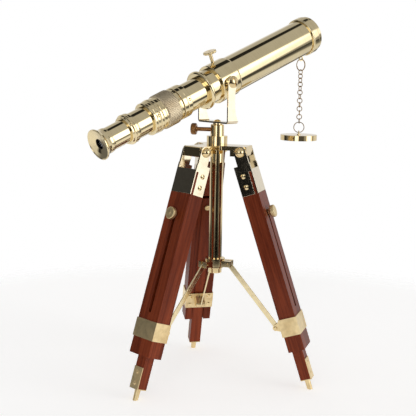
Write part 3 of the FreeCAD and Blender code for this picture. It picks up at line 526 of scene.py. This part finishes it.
def make_draw_tubes():
    large = tube_outline(-124.3, -40.0, LARGE_R, LARGE_BORE)
    turned_piece("large_draw_shell", large, ON_TUBE, "large_draw", ["draw_tube_large"], POLISHED,
                 ease=0.1, dark_r=13.0)
    ring = [(-129.3, 11.96), (-129.3, 14.0), (-128.8, 14.4), (-127.1, 14.5), (-126.7, 15.5),
            (-126.3, 15.8), (-124.9, 15.8), (-124.3, 15.25), (-123.9, 15.5), (-121.5, 15.5),
            (-121.1, 14.6), (-119.1, 14.4), (-119.1, LARGE_R), (-124.3, LARGE_R),
            (-124.3, 11.96)]
    turned_piece("large_draw_ring", ring, ON_TUBE, "large_draw", ["draw_ring"], RING_BRASS,
                 ease=0.2)
    small = tube_outline(-153.0, -75.0, SMALL_R, SMALL_BORE)
    turned_piece("small_draw_shell", small, ON_TUBE, "small_draw", ["draw_tube_small"], POLISHED,
                 ease=0.1, dark_r=11.2)
    cup = [(-160.3, 5.3), (-161.2, 10.0), (-161.9, 14.9), (-162.6, 15.4), (-162.6, 15.7),
           (-162.1, 16.0), (-161.1, 16.0), (-159.0, 14.4), (-156.5, 13.2), (-154.5, 12.6),
           (-154.0, 12.9), (-151.4, 12.9), (-151.0, 12.5), (-149.4, 12.4), (-149.4, SMALL_R),
           (-153.0, SMALL_R), (-153.0, 9.0), (-158.8, 9.0), (-158.8, 5.3)]
    turned_piece("eyecup_bell", cup, ON_TUBE, "small_draw", ["eyecup"], RING_BRASS, ease=0.25,
                 dark_r=9.2)


# A solid turned piece starts and ends this far off its axis.
AXIS_R = 0.02


def make_knobs():
    stem = [(15.8, AXIS_R), (15.8, 1.7), (25.0, 1.7), (25.4, 1.9), (30.6, 1.9), (31.2, 3.6),
            (31.2, 6.8), (31.6, 7.0), (33.4, 7.0), (33.8, 6.6), (33.8, 1.6), (33.5, AXIS_R)]
    turned_piece("barrel_clamp_thumbscrew", stem, ON_TUBE @ UPRIGHT, "barrel_clamp",
                 ["barrel_clamp_screw"], SCREW_BRASS, ease=0.2, teeth=28, tooth_depth=0.45,
                 tooth_r=6.3)
    lock = [(5.3, AXIS_R), (5.3, 2.2), (21.4, 2.2), (22.6, 3.4), (22.6, 5.4), (23.2, 6.1),
            (24.2, 6.2), (27.2, 6.2), (28.2, 5.6), (28.4, 4.6), (28.0, 3.0), (27.8, AXIS_R)]
    turned_piece("post_lock_thumbscrew", lock, turn(LOCK_AZIMUTH, "Z") @ shift(0, 0, LOCK_Z),
                 "post_lock", ["post_lock_screw"], LOCK_BRASS, ease=0.3, teeth=40,
                 tooth_depth=0.16, tooth_r=6.0)
    clamp = [(-11.0, AXIS_R), (-11.0, 3.0), (-9.7, 3.2), (-9.6, 1.5), (7.6, 1.5), (7.6, 3.8),
             (9.6, 3.8), (10.4, 4.6), (10.4, 5.8), (11.0, 6.5), (14.4, 6.6), (15.2, 5.9),
             (15.2, 2.4), (14.9, AXIS_R)]
    for i in LEGS:
        leg = str(i + 1)
        turned_piece("leg_clamp_thumbscrew_" + leg, clamp, ON_LEG[i] @ shift(0, 0, LEG_KNOB_Z),
                     "leg_clamp_" + leg, ["clamp_knob_" + leg], KNOB_BRASS, ease=0.3, teeth=40,
                     tooth_depth=0.22, tooth_r=6.2)


# ---- split rings ----
RING_WIRE_R = 0.45
RING_TURNS = 1.85
RING_POINTS = 58


def split_ring(name, normal, radius, body, node):
    """Two close turns of flat-ended wire, as a key ring is wound."""
    low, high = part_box(node)
    centre = (low + high) / 2
    curve = bpy.data.curves.new(name, "CURVE")
    curve.dimensions = "3D"
    curve.bevel_depth = RING_WIRE_R * MM
    curve.bevel_resolution = 4
    curve.use_fill_caps = True
    spline = curve.splines.new("NURBS")
    spline.points.add(RING_POINTS - 1)
    side = normal.orthogonal().normalized()
    up = normal.cross(side)
    for i, point in enumerate(spline.points):
        part = i / (RING_POINTS - 1)
        angle = part * 2 * math.pi * RING_TURNS
        rise = (part - 0.5) * 2 * RING_WIRE_R
        out = (side * math.cos(angle) + up * math.sin(angle)) * radius * MM
        point.co = (*(centre + out + normal * rise * MM), 1.0)
    spline.order_u = 4
    spline.use_endpoint_u = True
    ring = bpy.data.objects.new(name, curve)
    bpy.context.scene.collection.objects.link(ring)
    curve.materials.append(WIRE_BRASS)
    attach(ring, body)
    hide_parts(node)


CAP_RING_AZIMUTH = 50.0


def make_rings():
    along = Vector((1, 0, 0))
    split_ring("hanger_split_ring", along, 6.6, "hanger", "top_split_ring")
    split_ring("cap_split_ring_coil", turn(CAP_RING_AZIMUTH, "Z") @ along, 5.9, "chain",
               "cap_split_ring")


# ---- softened sheet, cast and wooden pieces ----
def make_stand():
    softened("yoke_strap", ["yoke"], "yoke", SHEET_BRASS, 0.22)
    softened("post_socket", ["post"], "stand", COLUMN_BRASS, 0.2)
    softened("tripod_head", ["head_casting"], "stand", CAST_BRASS, 0.35)
    softened("spreader_casting", ["spreader_hub"], "spreader", CAST_BRASS, 0.25)
    softened("column_nut", ["column_stop"], "stand", COLUMN_BRASS, 0.15)
    softened("cap_cover", ["lens_cap"], "cap", COLUMN_BRASS, 0.15)


def make_leg(i):
    leg = str(i + 1)
    upper, inner, strut = "leg_" + leg, "inner_leg_" + leg, "strut_" + leg
    softened("hinge_bracket_" + leg, ["leg_bracket_" + leg], upper, SHEET_BRASS,
             0.22)
    softened("fluted_leg_" + leg, ["upper_leg_" + leg], upper, LEG_WOOD[i], 0.5, 3)
    softened("collar_wrap_" + leg, ["leg_collar_" + leg], upper, AGED_BRASS, 0.22)
    softened("sliding_bar_" + leg, [inner], inner, BAR_WOOD[i], 0.45, 3)
    softened("foot_plate_" + leg, ["foot_shoe_" + leg], inner, AGED_BRASS, 0.12)
    softened("spreader_strut_" + leg, [strut], strut, STRUT_BRASS, 0.2)


make_barrel()
make_body_tube()
make_focus_ring()
make_draw_tubes()
make_knobs()
make_rings()
make_stand()
for leg_index in LEGS:
    make_leg(leg_index)


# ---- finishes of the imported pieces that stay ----
def refinish(finish, *names):
    """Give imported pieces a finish, and leave their shapes as they are."""
    for name in names:
        piece = cad[name]
        if not piece.material_slots:
            piece.data.materials.append(None)
        for holder in piece.material_slots:
            holder.material = finish


refinish(GLASS, "objective_lens", "erector_lens", "eye_lens")
refinish(RING_BRASS, "cap_eye", "swivel_stem", "cap_loop")
refinish(COLUMN_BRASS, "center_column")
refinish(CAST_BRASS, "leg_pivot_bolts")
refinish(SCREW_BRASS, "pivot_screws", "collar_screws", "yoke_screw", "hub_pins", "leg_screws_1",
         "leg_screws_2", "leg_screws_3")
refinish(WIRE_BRASS, "chain_links")


# ---- camera ----
SENSOR_WIDTH = 36.0
FOCAL_LENGTH = 79.53
CAMERA_AZIMUTH = -40.128
CAMERA_PITCH = 8.963
# In radians.
CAMERA_YAW = -0.0087
CAMERA_ROLL = -0.016
# In metres.
CAMERA_DISTANCE = 0.98146
CAMERA_HEIGHT = 0.34508
NEAREST = 0.05


def set_camera():
    data = bpy.data.cameras.new("camera")
    data.sensor_width = SENSOR_WIDTH
    data.lens = FOCAL_LENGTH
    data.clip_start = NEAREST
    camera = bpy.data.objects.new("camera", data)
    bpy.context.scene.collection.objects.link(camera)
    pitch = math.radians(CAMERA_PITCH)
    across, forward = math.sin(CAMERA_YAW), math.cos(CAMERA_YAW)
    ahead = Vector((across * math.cos(pitch), forward * math.cos(pitch), -math.sin(pitch)))
    right = Vector((forward, -across, 0))
    down = ahead.cross(right)
    rolled_right = right * math.cos(CAMERA_ROLL) + down * math.sin(CAMERA_ROLL)
    rolled_down = down * math.cos(CAMERA_ROLL) - right * math.sin(CAMERA_ROLL)
    facing = Matrix((rolled_right, -rolled_down, -ahead)).transposed().to_4x4()
    standing = Matrix.Translation((0, -CAMERA_DISTANCE, CAMERA_HEIGHT))
    camera.matrix_world = turn(CAMERA_AZIMUTH, "Z") @ standing @ facing
    bpy.context.scene.camera = camera


# ---- studio ----
# In metres.
FLOOR_RADIUS = 0.7
FADE_FROM, FADE_TO = 0.48, 0.62
FLOOR_PAINT = (0.86, 0.85, 0.84, 1)
FLOOR_GLOW = 0.48


def make_floor():
    """A pale round floor whose rim fades into the white room."""
    mesh = bpy.data.meshes.new("floor")
    shape = bmesh.new()
    bmesh.ops.create_circle(shape, cap_ends=True, segments=96, radius=FLOOR_RADIUS)
    shape.to_mesh(mesh)
    shape.free()
    floor = bpy.data.objects.new("floor", mesh)
    bpy.context.scene.collection.objects.link(floor)
    finish = bpy.data.materials.new("pale_floor")
    finish.use_nodes = True
    tree = finish.node_tree
    tree.nodes.remove(tree.nodes["Principled BSDF"])
    matt = tree.nodes.new("ShaderNodeBsdfDiffuse")
    matt.inputs["Color"].default_value = FLOOR_PAINT
    glow = tree.nodes.new("ShaderNodeEmission")
    glow.inputs["Strength"].default_value = FLOOR_GLOW
    clear = tree.nodes.new("ShaderNodeBsdfTransparent")
    both = tree.nodes.new("ShaderNodeAddShader")
    tree.links.new(matt.outputs[0], both.inputs[0])
    tree.links.new(glow.outputs[0], both.inputs[1])
    spread = tree.nodes.new("ShaderNodeVectorMath")
    spread.operation = "LENGTH"
    tree.links.new(tree.nodes.new("ShaderNodeTexCoord").outputs["Object"], spread.inputs[0])
    edge = remap(tree, spread.outputs["Value"], low=FADE_FROM, high=FADE_TO)
    fade = tree.nodes.new("ShaderNodeMixShader")
    tree.links.new(edge, fade.inputs["Fac"])
    tree.links.new(both.outputs[0], fade.inputs[1])
    tree.links.new(clear.outputs[0], fade.inputs[2])
    tree.links.new(fade.outputs[0], tree.nodes["Material Output"].inputs["Surface"])
    mesh.materials.append(finish)


# The room's walls, as the direction in degrees round from ROOM_FRONT and the light there.
ROOM_FRONT = 130.0
ROOM_BANDS = (
    (-180, 0.80), (-112, 0.75), (-104, 0.05), (-88, 0.03), (-84, 0.17), (-55, 0.17),
    (-53, 0.45), (-41, 0.45), (-36, 0.06), (-29, 0.06), (-26, 2.2), (-8, 2.2), (-4, 0.10),
    (27, 0.10), (33, 0.42), (45, 0.45), (50, 2.8), (74, 2.8), (80, 1.4), (86, 1.4), (89, 0.35),
    (98, 0.35), (104, 0.80), (180, 0.80))
BRIGHTEST = 2.8
FLOOR_LIGHT = 0.75
CEILING_LIGHT = 0.5
# A black card hung under the ceiling, as degrees round, up, and from its middle to its edges.
CARD_AZIMUTH, CARD_LIFT = -178.0, 72.0
CARD_INSIDE, CARD_OUTSIDE = 11.0, 15.5
CARD_LIGHT = 0.02


def whole_turns(degrees):
    """A direction round the room as a part of the way along the bands."""
    return degrees / 360 + 0.5


def wall_light(tree, part, height):
    """The light of the walls, darker low down in front and darkest along the skirting."""
    ramp = tree.nodes.new("ShaderNodeValToRGB")
    stops = ramp.color_ramp.elements
    while len(stops) > 1:
        stops.remove(stops[-1])
    for i, (degrees, light) in enumerate(ROOM_BANDS):
        place = whole_turns(degrees)
        stop = stops[0] if i == 0 else stops.new(place)
        stop.position = place
        level = light / BRIGHTEST
        stop.color = (level, level, level, 1)
    tree.links.new(part, ramp.inputs["Fac"])
    skirting = remap(tree, height, low=-0.19, high=-0.165, to_low=0.2, to_high=1.0)
    low_down = remap(tree, height, low=-0.10, high=-0.085, to_low=0.85, to_high=0.0)
    left_end = remap(tree, part, low=whole_turns(-60), high=whole_turns(-50))
    right_end = remap(tree, part, low=whole_turns(60), high=whole_turns(66), to_low=1.0,
                      to_high=0.0)
    in_front = calc(tree, "MULTIPLY", left_end, right_end)
    shade = calc(tree, "SUBTRACT", 1.0, calc(tree, "MULTIPLY", low_down, in_front))
    strength = calc(tree, "MULTIPLY", calc(tree, "MULTIPLY", shade, skirting), BRIGHTEST)
    return calc(tree, "MULTIPLY", ramp.outputs["Color"], strength)


def ceiling_light(tree, direction):
    """An even ceiling with the black card in it."""
    from_card = tree.nodes.new("ShaderNodeVectorMath")
    from_card.operation = "DOT_PRODUCT"
    lift, azimuth = math.radians(CARD_LIFT), math.radians(CARD_AZIMUTH)
    from_card.inputs[1].default_value = (
        math.cos(lift) * math.cos(azimuth), math.cos(lift) * math.sin(azimuth), math.sin(lift))
    tree.links.new(direction, from_card.inputs[0])
    return remap(tree, from_card.outputs["Value"], low=math.cos(math.radians(CARD_OUTSIDE)),
                 high=math.cos(math.radians(CARD_INSIDE)), to_low=CEILING_LIGHT,
                 to_high=CARD_LIGHT)


def make_room():
    """A white room for the eye; for reflections, soft white panels with dark gaps between them."""
    world = bpy.data.worlds.new("studio")
    bpy.context.scene.world = world
    world.use_nodes = True
    tree = world.node_tree
    seen = tree.nodes["Background"]
    seen.inputs["Color"].default_value = (1, 1, 1, 1)
    turned = tree.nodes.new("ShaderNodeVectorRotate")
    turned.rotation_type = "Z_AXIS"
    turned.inputs["Angle"].default_value = math.radians(ROOM_FRONT)
    tree.links.new(tree.nodes.new("ShaderNodeTexCoord").outputs["Generated"],
                   turned.inputs["Vector"])
    direction = turned.outputs["Vector"]
    parts = tree.nodes.new("ShaderNodeSeparateXYZ")
    tree.links.new(direction, parts.inputs["Vector"])
    height = parts.outputs["Z"]
    angle = calc(tree, "ARCTAN2", parts.outputs["Y"], parts.outputs["X"])
    part = calc(tree, "ADD", calc(tree, "DIVIDE", angle, 2 * math.pi), 0.5)
    above_floor = tree.nodes.new("ShaderNodeMix")
    tree.links.new(remap(tree, height, low=-0.42, high=-0.33, to_low=1.0, to_high=0.0),
                   above_floor.inputs["Factor"])
    tree.links.new(wall_light(tree, part, height), above_floor.inputs["A"])
    above_floor.inputs["B"].default_value = FLOOR_LIGHT
    all_round = tree.nodes.new("ShaderNodeMix")
    tree.links.new(remap(tree, height, low=0.40, high=0.58), all_round.inputs["Factor"])
    tree.links.new(above_floor.outputs["Result"], all_round.inputs["A"])
    tree.links.new(ceiling_light(tree, direction), all_round.inputs["B"])
    lights = tree.nodes.new("ShaderNodeBackground")
    tree.links.new(all_round.outputs["Result"], lights.inputs["Color"])
    paths = tree.nodes.new("ShaderNodeLightPath")
    choice = tree.nodes.new("ShaderNodeMixShader")
    tree.links.new(paths.outputs["Is Camera Ray"], choice.inputs["Fac"])
    tree.links.new(lights.outputs[0], choice.inputs[1])
    tree.links.new(seen.outputs[0], choice.inputs[2])
    tree.links.new(choice.outputs[0], tree.nodes["World Output"].inputs["Surface"])


set_camera()
make_floor()
make_room()
bpy.context.scene.view_settings.view_transform = "Standard"
